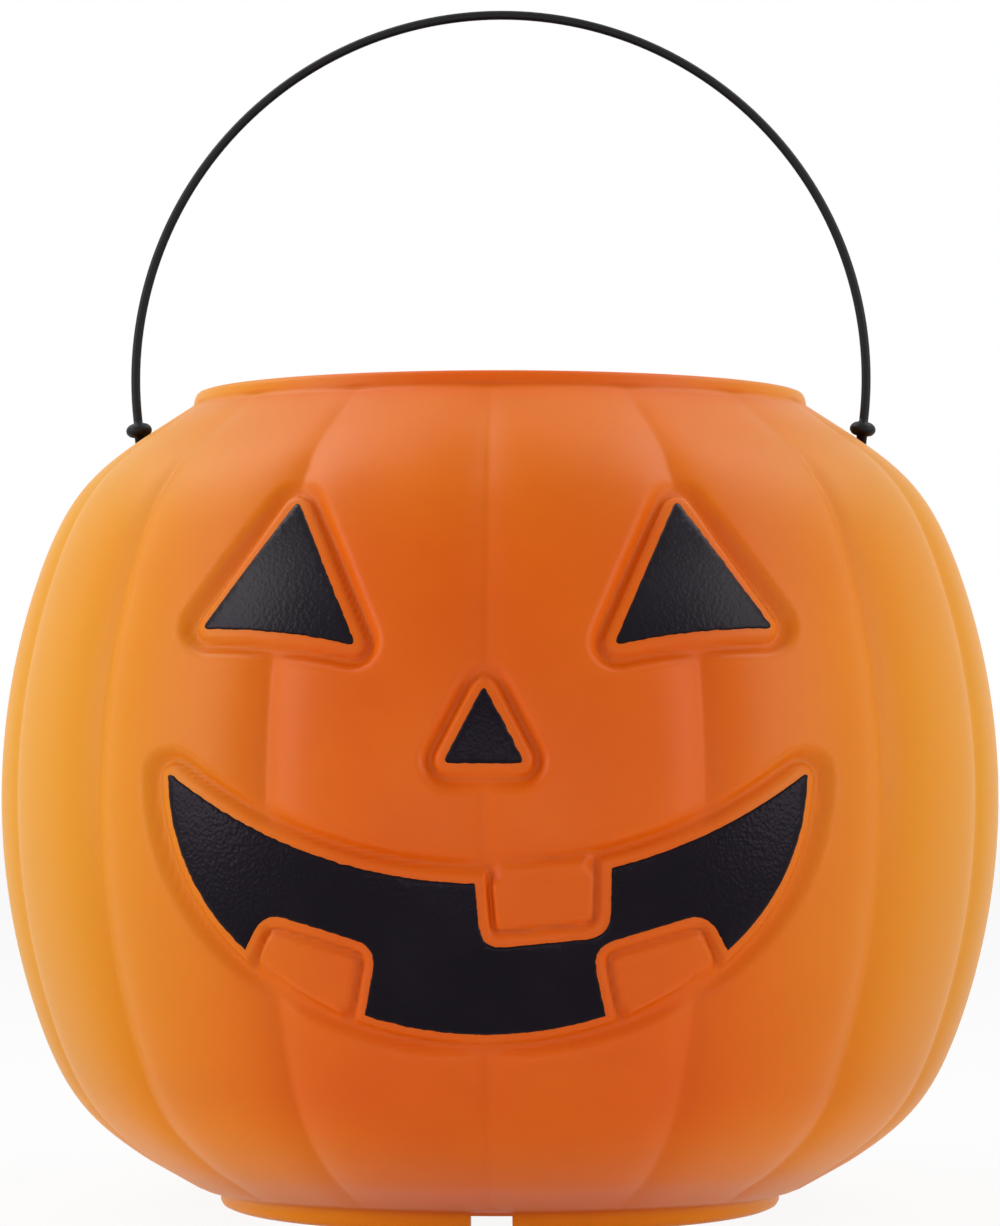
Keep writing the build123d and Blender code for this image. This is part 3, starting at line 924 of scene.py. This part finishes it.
def orange_plastic():
    """Blown plastic, deep orange, with painted light: yellower at the sides, shoulders and rim and paler low
    down, where the lamps and the floor light it.
    """
    material, graph, shader = new_material("orange_blown_plastic")
    place = object_place(graph)
    parts = graph.add("ShaderNodeSeparateXYZ", None, {0: place})
    # distance from the darkest, least lit middle of the front; the sides get painted light
    across = (parts - DARKEST_SHIFT).size() / (BODY_RADIUS * MM)
    height = Value(graph, parts.socket.node.outputs[2])
    off_middle = across.between(*OFF_MIDDLE)
    # painted highlight: the shoulders made yellower where the top softboxes light them
    shoulder = height.between(*SHOULDER_RISE) * (1.0 - height.between(*SHOULDER_END))
    # painted light: the rim made paler off the middle, where light shines through it from behind
    rim = height.between(*RIM_RISE) * off_middle
    lit_share = across.between(*LIT_SIDES) + 0.18 * shoulder + 0.4 * rim
    # painted light from below: the low part, paler off the middle, and the foot ring
    low = (1.0 - height.between(*LOW_END)) * (0.2 + 0.4 * off_middle)
    foot = 1.0 - height.between(*FOOT_END)
    cloud = speckle(graph, place, 38.0, 3.0)
    shaded_front = graph.mix_colours(cloud.between(0.3, 0.75), *SHADED_ORANGE)
    # painted light: the lit orange laid over the shaded one at the sides, shoulders and rim
    colour = graph.mix_colours(lit_share, shaded_front, LIT_ORANGE)
    # the low part and the foot ring take the painted light from below
    colour = graph.mix_colours(low + 0.35 * foot, colour, BOUNCE_ORANGE)
    drawn = speckle(graph, stretched(graph, place, (900.0, 900.0, 14.0)), 1.0)
    scuffs = drawn.between(0.66, 0.8) * cloud.between(0.45, 0.7)
    fine = speckle(graph, place, 1500.0)
    roughness = 0.4 + 0.05 * cloud + 0.06 * scuffs
    relief = fine * 0.6 + drawn * 0.25 + cloud * 0.6
    bump = graph.add("ShaderNodeBump", None, {"Strength": 0.05, "Distance": 0.0004, "Height": relief})
    feed(graph, shader, Base_Color=colour, Roughness=roughness, Normal=bump)
    shader.inputs["Specular IOR Level"].default_value = 0.21
    shader.inputs["Subsurface Weight"].default_value = 0.18
    shader.inputs["Subsurface Radius"].default_value = (1.0, 0.35, 0.08)
    shader.inputs["Subsurface Scale"].default_value = 0.004
    return material


def black_paint():
    """Stippled black paint with a soft sheen, more of it on the eyes, where it is thicker."""
    material, graph, shader = new_material("stippled_black_paint")
    place = object_place(graph)
    height = graph.add("ShaderNodeSeparateXYZ", None, {0: place}, output="Z")
    stipple = {"Vector": place, "Scale": 1300.0, "Smoothness": 0.5}
    cells = graph.add("ShaderNodeTexVoronoi", {"feature": "SMOOTH_F1"}, stipple)
    grain = speckle(graph, place, 1100.0)
    cloud = speckle(graph, place, 60.0)
    colour = graph.mix_colours(cloud.between(0.45, 0.75), *PAINT_BLACK)
    shine = 0.16 * height.between(*EYE_RISE) * (0.8 + 0.4 * cloud)
    roughness = 0.24 + 0.1 * grain
    relief = cells * 0.7 + grain * 0.8
    bump = graph.add("ShaderNodeBump", None, {"Strength": 0.32, "Distance": 0.0003, "Height": relief})
    feed(graph, shader, Base_Color=colour, Roughness=roughness, Coat_Weight=shine, Normal=bump)
    shader.inputs["Coat Roughness"].default_value = 0.26
    shader.inputs["Specular IOR Level"].default_value = 0.1
    shader.inputs["Specular Tint"].default_value = (1.0, 0.84, 1.0, 1)
    return material


def black_plastic():
    """Satin black moulding with faint flow marks."""
    material, graph, shader = new_material("satin_black_plastic")
    place = object_place(graph)
    grain = speckle(graph, place, 1400.0)
    flow = speckle(graph, place, 120.0, 3.0)
    colour = graph.mix_colours(flow.between(0.4, 0.7), *HANDLE_BLACK)
    roughness = 0.4 + 0.14 * flow
    bump = graph.add("ShaderNodeBump", None, {"Strength": 0.12, "Distance": 0.0002, "Height": grain})
    feed(graph, shader, Base_Color=colour, Roughness=roughness, Normal=bump)
    shader.inputs["Specular IOR Level"].default_value = 0.2
    return material


# Pieces

def dress_pail():
    """Makes every piece and says which body it rides on and the node that it replaces."""
    orange, paint, black = orange_plastic(), black_paint(), black_plastic()
    tree = lobed_wall_tree()
    outside = lobed_wall("pail_skin", outside_rows(), OUTSIDE_COLUMNS, FRONT_CROWDING, orange, tree)
    inside = lobed_wall("inner_skin", inside_rows(), INSIDE_COLUMNS, INSIDE_CROWDING, orange, tree)
    for skin in (outside, inside):
        carve_face(skin)
    shape_underside(outside)
    for skin in (outside, inside):
        for side in (-1, 1):
            cut_handle_hole(skin, side)
    shell = join_skins(outside, inside)
    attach(shell, "pail")
    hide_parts("pail_shell")
    for node, area in PAINTED.items():
        coat = paint_coat(node + "_coat", area, paint)
        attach(coat, "pail")
        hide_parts(node)
    strap, plugs = handle_strap(black), handle_plugs(black)
    for piece in (strap, plugs):
        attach(piece, "handle")
    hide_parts("carry_handle")


# Studio

CAMERA_PLACE = Vector((0.0279, -0.9396, 0.0999))
CAMERA_PITCH = radians(1.705)
CAMERA_LENS = 126.8
SENSOR_WIDTH = 36.0
LIT_PLACE = (0.0, 0.0, 0.09)  # what every softbox points at
SIDE_POWER = 5.4
TOP_POWER = 3.3
FRONT_POWER = 5.6
SIDE_SHARES = ((-1, "left", 1.02), (1, "right", 0.84))
FLOOR_REACH = 6.0
FLOOR_PAINT = (0.92, 0.92, 0.92, 1)
FLOOR_GLOW = 0.92  # share of plain white in what the camera sees of the floor
SKY_LIGHT = 0.24  # strength of the sky as a light
WHITE = (1, 1, 1, 1)


def add_camera():
    """The camera in front, turned to the pail's axis."""
    data = bpy.data.cameras.new("camera")
    data.lens = CAMERA_LENS
    data.sensor_width = SENSOR_WIDTH
    camera = bpy.data.objects.new("camera", data)
    camera.location = CAMERA_PLACE
    camera.rotation_euler = (pi / 2 + CAMERA_PITCH, 0.0, atan2(CAMERA_PLACE.x, -CAMERA_PLACE.y))
    bpy.context.scene.collection.objects.link(camera)
    bpy.context.scene.camera = camera


def add_softbox(name, place, size, power):
    """A soft, even light that points at the pail."""
    data = bpy.data.lights.new(name, "AREA")
    data.shape = "RECTANGLE"
    data.size, data.size_y = size
    data.energy = power
    lamp = bpy.data.objects.new(name, data)
    lamp.location = place
    lamp.rotation_euler = (Vector(LIT_PLACE) - Vector(place)).to_track_quat("-Z", "Y").to_euler()
    bpy.context.scene.collection.objects.link(lamp)


def white_to_camera(graph):
    """1 where the camera, a glossy surface or a clear one looks at the background."""
    path = graph.add("ShaderNodeLightPath", None, None, output="Is Camera Ray")
    outputs = path.socket.node.outputs
    seen = path + Value(graph, outputs["Is Glossy Ray"]) + Value(graph, outputs["Is Transmission Ray"])
    return seen.between(0.0, 1.0)


def add_floor():
    """A pale floor that takes the pail's shadow and is nearly white to the camera."""
    mesh = bpy.data.meshes.new("studio_floor")
    corners = [(FLOOR_REACH * x, FLOOR_REACH * y, 0.0) for x, y in ((-1, -1), (1, -1), (1, 1), (-1, 1))]
    mesh.from_pydata(corners, [], [(0, 1, 2, 3)])
    material, graph, shader = new_material("pale_floor")
    tree = material.node_tree
    shader.inputs["Base Color"].default_value = FLOOR_PAINT
    shader.inputs["Roughness"].default_value = 0.9
    shader.inputs["Specular IOR Level"].default_value = 0.0
    glow = graph.add("ShaderNodeEmission", None, {"Color": WHITE, "Strength": 1.0})
    share = white_to_camera(graph) * FLOOR_GLOW
    both = graph.add("ShaderNodeMixShader", None, {0: share, 1: Value(graph, shader.outputs[0]), 2: glow})
    tree.links.new(both.socket, tree.nodes["Material Output"].inputs["Surface"])
    mesh.materials.append(material)
    floor = bpy.data.objects.new("studio_floor", mesh)
    bpy.context.scene.collection.objects.link(floor)


def add_sky():
    """A weak even light that the camera sees as white."""
    world = bpy.data.worlds.new("studio_white")
    world.use_nodes = True
    bpy.context.scene.world = world
    graph = Graph(world.node_tree)
    background = world.node_tree.nodes["Background"]
    background.inputs["Color"].default_value = WHITE
    strength = SKY_LIGHT + (1.0 - SKY_LIGHT) * white_to_camera(graph)
    world.node_tree.links.new(strength.socket, background.inputs["Strength"])


def light_studio():
    """A tall softbox and one above on each side, and a wide one in front."""
    for side, name, share in SIDE_SHARES:
        add_softbox(name + "_softbox", (side * 0.9, -0.42, 0.22), (0.4, 1.1), SIDE_POWER * share)
        add_softbox(name + "_top_softbox", (side * 0.5, 0.12, 0.85), (0.6, 0.6), TOP_POWER * share)
    add_softbox("front_fill", (0.0, -1.8, 0.06), (1.6, 0.4), FRONT_POWER)


dress_pail()
add_camera()
light_studio()
add_floor()
add_sky()
bpy.context.scene.view_settings.view_transform = "Standard"
